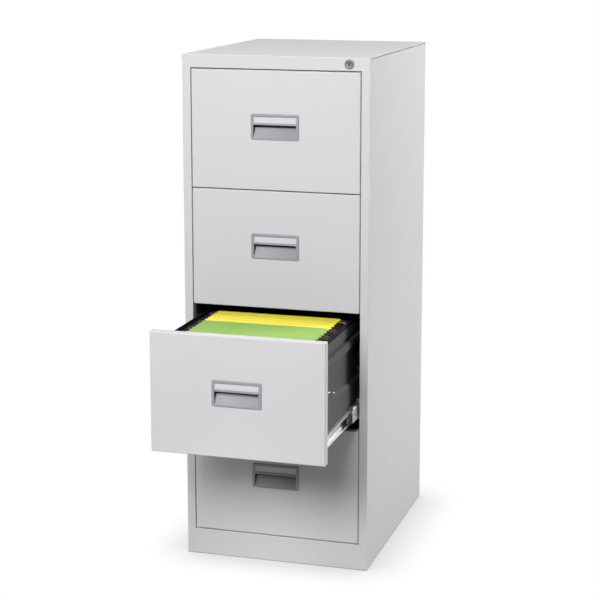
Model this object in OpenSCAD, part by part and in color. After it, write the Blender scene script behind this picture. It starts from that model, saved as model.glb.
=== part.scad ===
// Four-drawer steel filing cabinet for suspension files.
// Millimetres. The origin is on the floor at the centre of the body's
// footprint, the front faces -Y and +Z is up. Drawer 1 is the top drawer.

/* [Body] */
// Width of the body
body_w = 490; // [470:1:510]
// Depth of the body
body_d = 622; // [615:1:640]
// Height of the body
body_h = 1321; // [1310:1:1340]
// Thickness of the folded steel sheet
sheet = 1; // [0.8:0.1:1.2]
// Visible width of the stile on each side of the drawers
stile_w = 22; // [20:1:24]
// Height of the rail above the top drawer
header_h = 33.8; // [32:0.2:38]
// Height of the plinth under the bottom drawer
plinth_h = 68; // [60:1:76]
// How far the folds behind the front face reach back
return_d = 20; // [16:1:20]

/* [Drawers] */
// Gap round each drawer front
gap = 2.4; // [2:0.1:3]
// Thickness of a drawer front, a folded pan
front_t = 20; // [20:1:22]
// Length of a tray from its front wall to its back
tray_len = 560; // [540:5:565]
// How far the third drawer stands open
drawer_3_open = 310; // [0:10:480]

/* [Handles] */
// Width of the handle's flange
handle_w = 126; // [110:1:140]
// Height of the handle's flange
handle_h = 65; // [60:1:72]
// How far the flange stands proud of the drawer front
handle_lip = 2.5; // [2:0.1:3]
// Height of the handle's centre above the bottom edge of its drawer front
handle_up = 160; // [140:1:180]

/* [Slides] */
// Space taken by one slide, across the cabinet
slide_w = 19.2; // [19:0.1:20]
// Height of the outer member
outer_h = 50.4; // [50:0.2:54]
// Height of a slide's centre above the bottom edge of its drawer front
slide_up = 50; // [44:1:60]
// How far the middle member's front end lies behind the outer member's
middle_setback = 80; // [0:5:100]

/* [Lock] */
// Distance of the lock's centre from the right side of the body
lock_in = 53; // [45:1:60]
// Distance of the cam pin from the lock's axis
cam_reach = 12; // [11:0.5:12]

/* [Files] */
// Pitch of the suspension files
file_pitch = 23; // [21:0.5:23]
// Number of green files, at the front
green_files = 9; // [1:1:12]
// Number of yellow files, behind them
yellow_files = 5; // [1:1:8]

/* [Hidden] */
$fn = 64;
paint = [0.86, 0.86, 0.87];
tray_paint = [0.33, 0.33, 0.32];
zinc = [0.78, 0.79, 0.80];
handle_grey = [0.64, 0.66, 0.69];
lock_metal = [0.60, 0.60, 0.60];
cage_metal = [0.45, 0.45, 0.46];
nylon = [0.90, 0.90, 0.86];
card = [0.86, 0.87, 0.88];
file_green = [0.55, 0.78, 0.35];
file_yellow = [0.98, 0.88, 0.22];

drawers = [1, 2, 3, 4];
front_y = -body_d / 2;
back_y = body_d / 2;
side_x = body_w / 2;
opening_x = side_x - stile_w;
opening_h = body_h - header_h - plinth_h;
pitch = (opening_h - gap) / len(drawers);
front_h = pitch - gap;
front_x = opening_x - gap * 0.75;
header_z = body_h - header_h;

// Posts: folded channels that carry the slides.
post_w = 40;
post_front_y = front_y + 25;
post_rear_y = back_y - 111;
post_z = [26, body_h - 51];
post_face = opening_x - 0.7;

// Slides: three nested channels with two rows of balls between each pair.
slide_sheet = 1.2;
ball_gap = 4;
ball_r = 1.7;
row_x = post_face - 9.3;
channel_x = post_face - 14.3;
middle_h = outer_h - 2 * (slide_sheet + ball_gap);
inner_h = middle_h - 2 * (slide_sheet + ball_gap);
slide_front = post_front_y;
slide_back = slide_front + tray_len;
tray_x = post_face - slide_w;

// Trays: heights are above the bottom edge of the drawer front.
tray_bottom = 20;
tray_top = 272;
tray_back_h = 250;
seam = 0.1;
wall_x = tray_x - 7.6;
groove_x = tray_x - 11.6;
tray_y = front_y + front_t;
latch_up = 148;
slide_screw_r = 2;
slide_screw_ys = [slide_front + 60, slide_back - 80];
brace_screw_r = 1.75;
brace_screws = [[tray_y + 102, 147], [tray_y + 146, 135]];

// Lock: the pin starts 45 degrees below the lock's axis and ends 45 above.
lock_x = side_x - lock_in;
lock_z = body_h - header_h / 2;
bezel_r = 12.5;
barrel_r = 9.5;
plug_r = 7;
pin_r = 2.5;
pin_drop = cam_reach * sin(45);
lock_lift = 2 * pin_drop;
barrel_back = front_y + 24;
cam_y = front_y + 28;
bar_x = opening_x + 5;
bar_y = front_y + 31;
bar_depth = 18;
hook_h = 12;
hook_y = front_y + 35;

function drawer_z(n) = plinth_h + gap + (len(drawers) - n) * pitch;
function pull(n) = n == 3 ? -drawer_3_open : 0;
function named(first, last) = [for (n = drawers) str(first, n, last)];

// ---- Helpers ----

// A box between two corners.
module slab(low, high) { translate(low) cube(high - low); }

// The children and their mirror image across the cabinet.
module both_sides() {
    children();
    mirror([1, 0, 0]) children();
}

// A flat outline in x and z, extruded from y0 to y1.
module along_y(y0, y1) {
    translate([0, y1, 0]) rotate([90, 0, 0]) linear_extrude(y1 - y0) children();
}

// A rectangle round the origin with round corners.
module round_rect(w, h, r) {
    square([w - 2 * r, h], center = true);
    square([w, h - 2 * r], center = true);
    for (x = [-1, 1], z = [-1, 1])
        translate([x * (w / 2 - r), z * (h / 2 - r)]) circle(r);
}

// A C-shaped channel in x and z: its web is at web_x, its flanges end at lip_x.
module channel(web_x, lip_x, h) {
    side = sign(lip_x - web_x);
    difference() {
        translate([min(web_x, lip_x), -h / 2]) square([abs(lip_x - web_x), h]);
        translate([min(web_x + side * slide_sheet, lip_x + side), -h / 2 + slide_sheet])
            square([abs(lip_x - web_x) - slide_sheet + 1, h - 2 * slide_sheet]);
    }
}

// ---- Body ----

module top_panel() {
    color(paint) {
        slab([-side_x, front_y, body_h - sheet], [side_x, back_y, body_h]);
        both_sides()
            slab([side_x - 2 * sheet, front_y + return_d, body_h - 15],
                 [side_x - sheet, back_y - 3 * sheet, body_h - sheet]);
    }
}

module base_panel() {
    color(paint) {
        slab([-side_x, front_y, 0], [side_x, back_y, sheet]);
        both_sides()
            slab([side_x - 2 * sheet, front_y + return_d, sheet],
                 [side_x - sheet, back_y - 3 * sheet, 25]);
    }
}

// One sheet, folded at the front into the stile and at the back into a flange.
module side_panel() {
    z0 = sheet;
    z1 = body_h - sheet;
    color(paint) {
        slab([side_x - sheet, front_y, z0], [side_x, back_y - sheet, z1]);
        slab([opening_x, front_y, z0], [side_x, front_y + sheet, z1]);
        slab([opening_x, front_y, z0], [opening_x + sheet, front_y + return_d, z1]);
        slab([side_x - 21, back_y - 2 * sheet, z0], [side_x, back_y - sheet, z1]);
    }
}

module right_side_panel() { side_panel(); }

module left_side_panel() { mirror([1, 0, 0]) side_panel(); }

module back_panel() {
    color(paint)
        slab([-side_x, back_y - sheet, sheet], [side_x, back_y, body_h - sheet]);
}

module plinth() {
    fold = front_y + 25;
    color(paint) {
        slab([-opening_x, front_y, sheet], [opening_x, front_y + sheet, plinth_h]);
        slab([-opening_x, front_y, plinth_h - sheet], [opening_x, fold, plinth_h]);
        slab([-opening_x, fold - sheet, plinth_h - 18], [opening_x, fold, plinth_h]);
    }
}

module front_header() {
    fold = front_y + 25;
    color(paint) difference() {
        union() {
            slab([-opening_x, front_y, header_z],
                 [opening_x, front_y + sheet, body_h - sheet]);
            slab([-opening_x, front_y, header_z], [opening_x, fold, header_z + sheet]);
            slab([-opening_x, fold - sheet, header_z], [opening_x, fold, header_z + 5]);
        }
        translate([lock_x, front_y + sheet / 2, lock_z]) rotate([90, 0, 0])
            cylinder(r = barrel_r + 0.3, h = 2 * sheet, center = true);
    }
}

// A folded channel with its web towards the drawers and a slot for each slide's tab.
module post(y0) {
    y1 = y0 + post_w;
    difference() {
        union() {
            slab([post_face, y0, post_z[0]], [post_face + sheet, y1, post_z[1]]);
            for (y = [y0, y1 - sheet])
                slab([post_face, y, post_z[0]], [side_x - sheet, y + sheet, post_z[1]]);
        }
        for (n = drawers) tab_at(y0, n, 0.3);
    }
}

// The hooked tab of an outer slide member, made larger by a margin for its slot.
module tab_at(y0, n, margin) {
    y = y0 + post_w / 2 + 10;
    z = drawer_z(n) + slide_up;
    slab([post_face - margin, y - 4 - margin, z - 6 - margin],
         [post_face + 3 + margin, y + 4 + margin, z + 6 + margin]);
}

module post_front_right() {
    color(zinc) difference() {
        post(post_front_y);
        for (n = drawers)
            slab([post_face - 1, hook_y - 3, drawer_z(n) + latch_up - 3],
                 [post_face + 2, hook_y + 9, drawer_z(n) + latch_up + hook_h + lock_lift + 3]);
    }
}

module post_front_left() { color(zinc) mirror([1, 0, 0]) post(post_front_y); }

module post_rear_right() { color(zinc) post(post_rear_y); }

module post_rear_left() { color(zinc) mirror([1, 0, 0]) post(post_rear_y); }

// ---- Lock ----

// Puts children, drawn with their axis along +Z, on the lock's axis from y backwards.
module on_lock_axis(y) {
    translate([lock_x, y, lock_z]) rotate([-90, 0, 0]) children();
}

module lock_housing() {
    color(lock_metal) difference() {
        union() {
            on_lock_axis(front_y - 3) cylinder(r = bezel_r, h = 3);
            on_lock_axis(front_y) cylinder(r = barrel_r, h = barrel_back - front_y);
        }
        on_lock_axis(front_y - 4) cylinder(r = plug_r + 0.05, h = 40);
    }
}

module lock_nut() {
    color(zinc) on_lock_axis(front_y + sheet) difference() {
        cylinder(r = 13, h = 5, $fn = 6);
        translate([0, 0, -1]) cylinder(r = barrel_r + 0.1, h = 7);
    }
}

module lock_plug() {
    color(lock_metal) difference() {
        on_lock_axis(front_y - 2.4) cylinder(r = plug_r, h = cam_y - front_y + 2.4);
        slab([lock_x - 1.2, front_y - 3, lock_z - 4.5], [lock_x + 1.2, front_y + 18, lock_z + 4.5]);
    }
}

// A disc with an arm, and a pin that lifts the lock bar.
module lock_cam() {
    color(zinc) on_lock_axis(cam_y) rotate([0, 0, 135]) {
        cylinder(r = 8, h = 3);
        translate([0, -4, 0]) cube([cam_reach, 8, 3]);
        translate([cam_reach, 0, 0]) cylinder(r = 4, h = 3);
        translate([cam_reach, 0, 0]) cylinder(r = pin_r, h = 11);
    }
}

// The upright bar, its head with the slot for the cam pin, and a hook for each drawer.
module lock_bar() {
    head_y = cam_y + 5;
    head_z = lock_z - pin_drop;
    color(zinc) {
        slab([bar_x, bar_y, drawer_z(4) + latch_up - 20],
             [bar_x + 3, bar_y + bar_depth, head_z + 6]);
        difference() {
            slab([lock_x - cam_reach - 8, head_y, head_z - 6.6],
                 [bar_x, head_y + 3, head_z + 6]);
            slab([lock_x - cam_reach - 3.5, head_y - 1, head_z - 3.3],
                 [lock_x - pin_drop + 3.5, head_y + 4, head_z + 3.3]);
        }
        for (n = drawers)
            slab([tray_x + 2, hook_y, drawer_z(n) + latch_up],
                 [bar_x, hook_y + 6, drawer_z(n) + latch_up + hook_h]);
    }
}

module lock_bar_guides() {
    play = 0.4;
    levels = [for (n = [2, 3, 4]) drawer_z(n) + 255];
    color(nylon) for (z = levels) difference() {
        slab([post_face + sheet, post_front_y + 2, z], [bar_x + 8, post_front_y + 28, z + 14]);
        slab([bar_x - play, bar_y - play, z - 1],
             [bar_x + 3 + play, bar_y + bar_depth + play, z + 15]);
    }
}

// ---- Drawers ----

// Places a drawer's children from the bottom edge of its front, pulled out by its opening.
module in_drawer(n, share = 1) { translate([0, pull(n) * share, drawer_z(n)]) children(); }

// A folded pan, open at the back, with a cut-out for the handle.
module drawer_front(n) {
    color(paint) in_drawer(n) difference() {
        slab([-front_x, front_y, 0], [front_x, front_y + front_t, front_h]);
        slab([-front_x + sheet, front_y + sheet, sheet],
             [front_x - sheet, front_y + front_t + 1, front_h - sheet]);
        translate([0, 0, handle_up])
            slab([-handle_w / 2 + 8, front_y - 1, -handle_h / 2 + 4.5],
                 [handle_w / 2 - 8, front_y + 2, handle_h / 2 - 4.5]);
    }
}

// A hole along X through a thin wall at the origin, for a screw of radius r.
module cross_hole(r) {
    rotate([0, 90, 0]) cylinder(r = r + 0.1, h = 4 * sheet, center = true);
}

// Outline of a tray's right side: its outer face, then the same points a sheet inwards.
function tray_side_outline() = [
    [tray_x, tray_bottom], [tray_x, 124], [wall_x, 130], [wall_x, 212],
    [tray_x, 217], [tray_x, 236], [groove_x, 238], [groove_x, 245],
    [wall_x, 247], [wall_x, tray_top]
];

module tray_side() {
    outer = tray_side_outline();
    inner = [for (i = [len(outer) - 1:-1:0]) outer[i] - [sheet, 0]];
    polygon(concat(outer, inner));
    translate([wall_x - 5, tray_top - sheet]) square([5, sheet]);
}

// Two sides, a bottom, a back and the front wall that closes the front pan, and the
// lock's tab. A seam parts each of these pressings from its neighbours.
module drawer_tray(n) {
    back = tray_y + tray_len - sheet;
    color(tray_paint) in_drawer(n) {
        both_sides() difference() {
            along_y(tray_y + seam, back + sheet) tray_side();
            for (y = slide_screw_ys) translate([tray_x, y, slide_up]) cross_hole(slide_screw_r);
            for (at = brace_screws) translate([wall_x, at[0], at[1]]) cross_hole(brace_screw_r);
        }
        slab([-tray_x + sheet + seam, tray_y + seam, tray_bottom],
             [tray_x - sheet - seam, back + sheet, tray_bottom + sheet]);
        slab([-groove_x + sheet + seam, back, tray_bottom + sheet + seam],
             [groove_x - sheet - seam, back + sheet, tray_back_h]);
        slab([-front_x + sheet + seam, tray_y - sheet, sheet + seam],
             [front_x - sheet - seam, tray_y, front_h - sheet - seam]);
        slab([wall_x + seam, hook_y + 10, latch_up + hook_h + 2],
             [wall_x + 18, hook_y + 16, latch_up + 2 * hook_h + 2]);
    }
}

// Outline of the finger recess in depth and height: a slope, a back wall, and a
// pocket that runs up behind the label.
function recess_outline() = [
    [-1, -27], [0, -26.5], [15, 0], [15.5, 4], [15.5, 20], [6.5, 20], [6.5, 4.5], [-1, 4.5]
];

// The moulded handle: a rounded flange, a finger recess, and a label window above it.
module drawer_handle(n) {
    face = front_y - handle_lip;
    body_x = handle_w / 2 - 8.5;
    body_z = handle_h / 2 - 5;
    color(handle_grey) in_drawer(n) translate([0, face, handle_up]) difference() {
        union() {
            along_y(0, handle_lip) round_rect(handle_w, handle_h, 4);
            slab([-body_x, handle_lip, -body_z], [body_x, front_t - 1.5, body_z]);
        }
        translate([-50, 0, 0]) rotate([90, 0, 90]) linear_extrude(100) polygon(recess_outline());
        slab([-50, -1, 9.5], [50, 2, 24.5]);
        slab([-52, 1.5, 8], [52, 3, 26]);
    }
}

module drawer_label(n) {
    card_y = front_y - handle_lip + 1.8;
    color(card) in_drawer(n) translate([0, 0, handle_up])
        slab([-51.5, card_y, 8.5], [51.5, card_y + 0.4, 25.5]);
}

// A pan-head screw along +X: its shank starts at the origin, and its head is behind.
module screw(r, length) {
    rotate([0, 90, 0]) {
        translate([0, 0, -2]) cylinder(r = 2 * r, h = 2);
        cylinder(r = r, h = length);
    }
}

// Four screws hold the tray to its slides; two on each side hold the front brace.
module drawer_screws(n) {
    color(zinc) in_drawer(n) both_sides() {
        for (y = slide_screw_ys) translate([tray_x - sheet, y, slide_up]) screw(slide_screw_r, 2);
        for (at = brace_screws)
            translate([wall_x, at[0], at[1]]) mirror([1, 0, 0]) screw(brace_screw_r, 3);
    }
}

// ---- Slides ----

// Puts a pair of slide parts at the slide's height; share is the part of the
// drawer's travel that they make.
module on_slides(n, share) {
    translate([0, pull(n) * share, drawer_z(n) + slide_up]) both_sides() children();
}

module slide_outer(n) {
    color(zinc) on_slides(n, 0)
        along_y(slide_front, slide_back) channel(post_face, channel_x, outer_h);
    color(zinc) both_sides() {
        tab_at(post_front_y, n, 0);
        tab_at(post_rear_y, n, 0);
    }
}

module slide_middle(n) {
    color(zinc) on_slides(n, 0.5)
        along_y(slide_front + middle_setback, slide_back)
            channel(post_face - 3.1, channel_x, middle_h);
}

module slide_inner(n) {
    color(zinc) on_slides(n, 1) difference() {
        along_y(slide_front, slide_back - 5) channel(tray_x, post_face - 5.8, inner_h);
        for (y = slide_screw_ys) translate([tray_x, y, 0]) cross_hole(slide_screw_r);
    }
}

// A thin folded cage with two rows of balls: web_x is its web, row_z its rows' height.
module cage(y0, y1, web_x, row_z) {
    step = 24;
    balls = [for (y = [y0 + 12:step:y1 - 8]) y];
    difference() {
        union() {
            slab([web_x, y0, -row_z - 0.4], [web_x + 0.5, y1, row_z + 0.4]);
            for (side = [-1, 1])
                slab([row_x - 3, y0, side * row_z - 0.4], [web_x + 0.5, y1, side * row_z + 0.4]);
        }
        for (y = balls, side = [-1, 1])
            translate([row_x, y, side * row_z]) cylinder(r = ball_r + 0.1, h = 3, center = true);
    }
    for (y = balls, side = [-1, 1]) translate([row_x, y, side * row_z]) sphere(r = ball_r);
}

module cage_outer(n) {
    color(cage_metal) on_slides(n, 0.25)
        cage(front_y + 250, front_y + 400, post_face - 2.4, (middle_h + ball_gap) / 2);
}

module cage_inner(n) {
    color(cage_metal) on_slides(n, 0.75)
        cage(front_y + 290, front_y + 430, post_face - 5.3, (inner_h + ball_gap) / 2);
}

// ---- Suspension files in the third drawer ----

file_x = 174;
file_top = 281;
bar_inset = 3;

// One folder, drawn as a closed block with two slots for its hanger bars.
module folder(y) {
    difference() {
        slab([-file_x, y + 0.5, tray_bottom + 12], [file_x, y + file_pitch - 0.5, file_top]);
        for (s = [y + bar_inset, y + file_pitch - bar_inset - 2])
            slab([-file_x - 1, s - 0.1, file_top - 14], [file_x + 1, s + 2.1, file_top + 1]);
    }
}

module hanger_bar(y) {
    slab([-file_x - 10, y, tray_top - 4], [file_x + 10, y + 2, tray_top + 7]);
    slab([-wall_x + 1, y, tray_top], [wall_x - 1, y + 2, tray_top + 7]);
}

function file_y(i) = tray_y + 6 + i * file_pitch;

module files_green() {
    color(file_green) in_drawer(3) for (i = [0:green_files - 1]) folder(file_y(i));
}

module files_yellow() {
    color(file_yellow) in_drawer(3)
        for (i = [green_files:green_files + yellow_files - 1]) folder(file_y(i));
}

module file_bars() {
    color(zinc) in_drawer(3) for (i = [0:green_files + yellow_files - 1]) {
        hanger_bar(file_y(i) + bar_inset);
        hanger_bar(file_y(i) + file_pitch - bar_inset - 2);
    }
}

// ---- Nodes ----

top_panel();
left_side_panel();
right_side_panel();
back_panel();
base_panel();
plinth();
front_header();
post_front_left();
post_front_right();
post_rear_left();
post_rear_right();
lock_housing();
lock_nut();
lock_plug();
lock_cam();
lock_bar();
lock_bar_guides();
for (n = drawers) {
    drawer_front(n);
    drawer_tray(n);
    drawer_handle(n);
    drawer_label(n);
    drawer_screws(n);
    slide_outer(n);
    slide_middle(n);
    slide_inner(n);
    cage_outer(n);
    cage_inner(n);
}
files_green();
files_yellow();
file_bars();
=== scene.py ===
import math

import bmesh
import bpy
from mathutils import Matrix, Vector


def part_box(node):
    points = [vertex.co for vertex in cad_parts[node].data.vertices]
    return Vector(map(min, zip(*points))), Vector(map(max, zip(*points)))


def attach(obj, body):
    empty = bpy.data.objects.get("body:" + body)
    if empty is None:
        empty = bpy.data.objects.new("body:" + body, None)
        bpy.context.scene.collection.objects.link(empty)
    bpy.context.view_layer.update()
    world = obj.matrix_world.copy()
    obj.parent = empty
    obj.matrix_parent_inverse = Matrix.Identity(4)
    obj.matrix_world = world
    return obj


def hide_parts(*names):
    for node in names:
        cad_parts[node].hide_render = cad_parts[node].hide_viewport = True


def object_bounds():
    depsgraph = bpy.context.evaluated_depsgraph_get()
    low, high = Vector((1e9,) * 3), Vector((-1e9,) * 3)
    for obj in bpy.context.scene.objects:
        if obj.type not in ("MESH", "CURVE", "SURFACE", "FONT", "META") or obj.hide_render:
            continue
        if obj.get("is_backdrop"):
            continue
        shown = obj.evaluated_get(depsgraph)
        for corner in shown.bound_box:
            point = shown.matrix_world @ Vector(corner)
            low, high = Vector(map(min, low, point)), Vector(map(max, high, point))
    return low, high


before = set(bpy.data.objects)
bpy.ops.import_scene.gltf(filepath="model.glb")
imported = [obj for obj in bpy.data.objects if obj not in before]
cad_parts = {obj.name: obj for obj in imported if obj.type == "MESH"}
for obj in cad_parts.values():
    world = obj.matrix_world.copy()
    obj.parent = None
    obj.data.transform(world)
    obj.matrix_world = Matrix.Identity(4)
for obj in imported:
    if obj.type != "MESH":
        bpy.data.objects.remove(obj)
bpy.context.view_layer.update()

# ---- Studio -----------------------------------------------------------------
# A white sweep that the camera sees glowing white, with a soft contact shadow painted
# near the cabinet from ambient occlusion, five square light panels over and around
# the cabinet, a narrow spot on its plinth, and a long lens at head height to the right
# of its middle.

mm = 0.001
room_light = 0.05  # the white room's light on the cabinet
room_gloss = 0.12  # what reflections see of it besides
painted_shadow_reach = 0.13  # how far from the cabinet the painted floor shadow reaches, in metres
scene = bpy.context.scene
scene.view_settings.view_transform = "Standard"

camera_data = bpy.data.cameras.new("camera")
camera_data.sensor_width = 36
camera_data.lens = 101.6
camera_data.shift_y = -0.08
camera_data.clip_end = 60
camera = bpy.data.objects.new("camera", camera_data)
camera.location = (1.270, -4.330, 1.632)
camera.rotation_euler = (math.radians(90 - 10.83), 0, math.radians(16.68))
scene.collection.objects.link(camera)
scene.camera = camera


def hang(name, data, place, aim):
    """Hangs a light at a place and aims it at a point."""
    light = bpy.data.objects.new(name, data)
    light.location = place
    light.rotation_euler = (Vector(aim) - Vector(place)).to_track_quat("-Z", "Y").to_euler()
    scene.collection.objects.link(light)


drawers_middle = (0, -0.3, 0.8)
for name, place, aim, size, power in (
    ("key_panel", (0.2, -3.8, 3.0), drawers_middle, 1.6, 119),
    ("camera_side_panel", (-0.6, -3.8, 2.4), drawers_middle, 1.3, 52),
    ("left_panel", (-2.6, -2.6, 2.6), drawers_middle, 1.4, 23),
    ("overhead_panel", (-1.2, 0.3, 3.2), (0, 0.1, 0.7), 1.4, 36),
    ("right_panel", (3.0, 1.4, 2.4), (0.2, 0, 0.7), 1.6, 160),
):
    panel_light = bpy.data.lights.new(name, "AREA")
    panel_light.size, panel_light.energy = size, power
    hang(name, panel_light, place, aim)

snoot = bpy.data.lights.new("plinth_snoot", "SPOT")
snoot.energy, snoot.shadow_soft_size = 95, 0.15
snoot.spot_size, snoot.spot_blend = math.radians(10), 1.0
hang("plinth_snoot", snoot, (0.1, -3.2, 1.6), (0, -0.311, -0.02))


def add_node(tree, kind, inputs=None, **settings):
    """A node with its settings; each input is a plain value or the socket it takes."""
    made = tree.nodes.new(kind)
    for setting, value in settings.items():
        setattr(made, setting, value)
    for socket, value in (inputs or {}).items():
        if isinstance(value, bpy.types.NodeSocket):
            tree.links.new(value, made.inputs[socket])
        else:
            made.inputs[socket].default_value = value
    return made


def maths(tree, operation, *values):
    """The outcome of one sum on plain values and sockets."""
    sum_node = add_node(tree, "ShaderNodeMath", dict(enumerate(values)), operation=operation)
    return sum_node.outputs[0]


world = bpy.data.worlds.new("white_room")
world.use_nodes = True
room_tree = world.node_tree
room = room_tree.nodes["Background"]
room.inputs["Color"].default_value = (1, 1, 1, 1)
seen = add_node(room_tree, "ShaderNodeLightPath").outputs
in_gloss = maths(room_tree, "MULTIPLY_ADD", seen["Is Glossy Ray"], room_gloss, room_light)
level = maths(room_tree, "MAXIMUM", seen["Is Camera Ray"], in_gloss)
room_tree.links.new(level, room.inputs["Strength"])
scene.world = world

floor_mesh = bpy.data.meshes.new("floor")
floor_mesh.from_pydata(
    [(-30, -12, 0), (30, -12, 0), (30, 50, 0), (-30, 50, 0)], [], [(0, 1, 2, 3)]
)
floor = bpy.data.objects.new("floor", floor_mesh)
scene.collection.objects.link(floor)
floor_paint = bpy.data.materials.new("floor_paint")
floor_paint.use_nodes = True
floor_tree = floor_paint.node_tree
floor_shader = floor_tree.nodes["Principled BSDF"]
floor_shader.inputs["Base Color"].default_value = (0.36, 0.36, 0.36, 1)
floor_shader.inputs["Roughness"].default_value = 1.0
floor_shader.inputs["Specular IOR Level"].default_value = 0.0
# To the camera the floor glows white, darkened near the cabinet by ambient occlusion as a painted
# contact shadow; other rays see it grey.
nearness = add_node(
    floor_tree, "ShaderNodeAmbientOcclusion", {"Distance": painted_shadow_reach}, samples=16
)
painted_contact_shadow = add_node(
    floor_tree,
    "ShaderNodeMapRange",
    {"Value": nearness.outputs["AO"], "From Min": 0.5, "To Min": 0.74, "To Max": 1.0},
)
floor_glow_with_painted_shadow = add_node(
    floor_tree, "ShaderNodeEmission", {"Strength": painted_contact_shadow.outputs["Result"]}
)
floor_seen = add_node(floor_tree, "ShaderNodeLightPath")
floor_mix = add_node(
    floor_tree,
    "ShaderNodeMixShader",
    {0: floor_seen.outputs["Is Camera Ray"], 1: floor_shader.outputs[0], 2: floor_glow_with_painted_shadow.outputs[0]},
)
floor_tree.links.new(
    floor_mix.outputs[0], floor_tree.nodes["Material Output"].inputs["Surface"]
)
floor_mesh.materials.append(floor_paint)
floor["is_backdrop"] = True

# ---- Painted body -----------------------------------------------------------
# The body is folded from 1 mm steel sheet and spot-welded: two sides that wrap
# round into the front stiles, a top, a back, a base, a rail over the drawers and a
# plinth. The outside has a light grey powder coat; every inner face is painted
# near-black as painted shade.

sheet_t = 1.0 * mm
bend_r = 1.6 * mm
lid_h = 2.6 * mm
back_flange_w = 21 * mm
stile_return_w = 20 * mm
lid_low, lid_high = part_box("top_panel")
front_y, back_y = lid_low.y, lid_high.y
side_x, body_top = lid_high.x, lid_high.z
header_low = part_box("front_header")[0].z
opening_x, fold_y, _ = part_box("front_header")[1]
plinth_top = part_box("plinth")[1].z


def node_group(name, inputs, outputs):
    """An empty shader node group with the named sockets."""
    tree = bpy.data.node_groups.new(name, "ShaderNodeTree")
    for label, kind, value in inputs:
        socket = tree.interface.new_socket(label, in_out="INPUT", socket_type=kind)
        socket.default_value = value
    for label, kind in outputs:
        tree.interface.new_socket(label, in_out="OUTPUT", socket_type=kind)
    return tree, tree.nodes.new("NodeGroupInput"), tree.nodes.new("NodeGroupOutput")


def vary(tree, given, result, pattern, middle, amount):
    """Lets a pattern move a group's colour and roughness up and down."""
    centred = maths(tree, "SUBTRACT", pattern, middle)
    swing = maths(tree, "MULTIPLY_ADD", centred, given.outputs[amount], 1.0)
    rough = maths(tree, "MULTIPLY", given.outputs["Roughness"], swing)
    tinted = add_node(
        tree,
        "ShaderNodeVectorMath",
        {0: given.outputs["Colour"], "Scale": swing},
        operation="SCALE",
    )
    tree.links.new(tinted.outputs[0], result.inputs["Colour"])
    tree.links.new(rough, result.inputs["Roughness"])


finish_outputs = [
    ("Colour", "NodeSocketColor"),
    ("Roughness", "NodeSocketFloat"),
    ("Height", "NodeSocketFloat"),
]


def coat_grain_group():
    """Fine orange peel and faint cloudiness of a sprayed or powder-coated surface."""
    tree, given, result = node_group(
        "coat_grain",
        [
            ("Colour", "NodeSocketColor", (0.7, 0.7, 0.7, 1)),
            ("Cloudiness", "NodeSocketFloat", 0.03),
            ("Grain Size", "NodeSocketFloat", 900.0),
            ("Roughness", "NodeSocketFloat", 0.4),
        ],
        finish_outputs,
    )
    place = add_node(tree, "ShaderNodeTexCoord").outputs["Object"]
    peel = add_node(
        tree,
        "ShaderNodeTexNoise",
        {"Vector": place, "Scale": given.outputs["Grain Size"], "Detail": 3},
    )
    cloud = add_node(tree, "ShaderNodeTexNoise", {"Vector": place, "Scale": 5, "Detail": 4})
    vary(tree, given, result, cloud.outputs["Fac"], 0.5, "Cloudiness")
    tree.links.new(peel.outputs["Fac"], result.inputs["Height"])
    return tree


coat_grain = coat_grain_group()


def finish_from(name, group, values, relief_h, relief_strength):
    """A material that takes its colour, roughness and relief from a group."""
    material = bpy.data.materials.new(name)
    material.use_nodes = True
    tree = material.node_tree
    shader = tree.nodes["Principled BSDF"]
    pattern = add_node(tree, "ShaderNodeGroup", values, node_tree=group)
    relief = add_node(
        tree,
        "ShaderNodeBump",
        {
            "Height": pattern.outputs["Height"],
            "Distance": relief_h,
            "Strength": relief_strength,
        },
    )
    tree.links.new(pattern.outputs["Colour"], shader.inputs["Base Color"])
    tree.links.new(pattern.outputs["Roughness"], shader.inputs["Roughness"])
    tree.links.new(relief.outputs["Normal"], shader.inputs["Normal"])
    return material, shader


def coated(name, colour, roughness, cloudiness=0.03, grain=900.0, bump=0.00004, specular=0.5):
    """A painted, coated or moulded finish with fine grain."""
    values = {
        "Colour": (*colour, 1),
        "Cloudiness": cloudiness,
        "Grain Size": grain,
        "Roughness": roughness,
    }
    material, shader = finish_from(name, coat_grain, values, bump, 0.6)
    shader.inputs["Specular IOR Level"].default_value = specular
    return material


body_paint = coated("body_paint", (0.56, 0.558, 0.57), 0.42)
# Near-black painted shade for the body's inside and other places that lie in shade.
inside_primer = coated("inside_primer", (0.012, 0.012, 0.012), 0.7, specular=0.12)


def rounded(corners, radius, steps=5):
    """The corners of a folded outline with each bend turned into an arc."""
    points = [Vector(corners[0])]
    for before, corner, after in zip(corners, corners[1:], corners[2:]):
        corner = Vector(corner)
        back, on = (Vector(before) - corner).normalized(), (Vector(after) - corner).normalized()
        half = back.angle(on) / 2
        reach = radius / math.tan(half)
        start, end = corner + back * reach, corner + on * reach
        centre = corner + (back + on).normalized() * (radius / math.sin(half))
        points.append(start + back * radius * 0.25)
        for i in range(steps + 1):
            spoke = (start - centre).slerp(end - centre, i / steps)
            points.append(centre + spoke * radius)
        points.append(end + on * radius * 0.25)
    points.append(Vector(corners[-1]))
    return points


def along_x(point, x):
    """A point (y, z) of an outline, at a place along X."""
    return (x, point[0], point[1])


def add_strip(mesh, outline, stations, place):
    """Sweeps an outline through the stations on one axis, as a surface without thickness."""
    rows = [[mesh.verts.new(place(p, s)) for p in outline] for s in stations]
    for low, high in zip(rows, rows[1:]):
        for i in range(len(outline) - 1):
            mesh.faces.new((low[i], low[i + 1], high[i + 1], high[i]))


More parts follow.
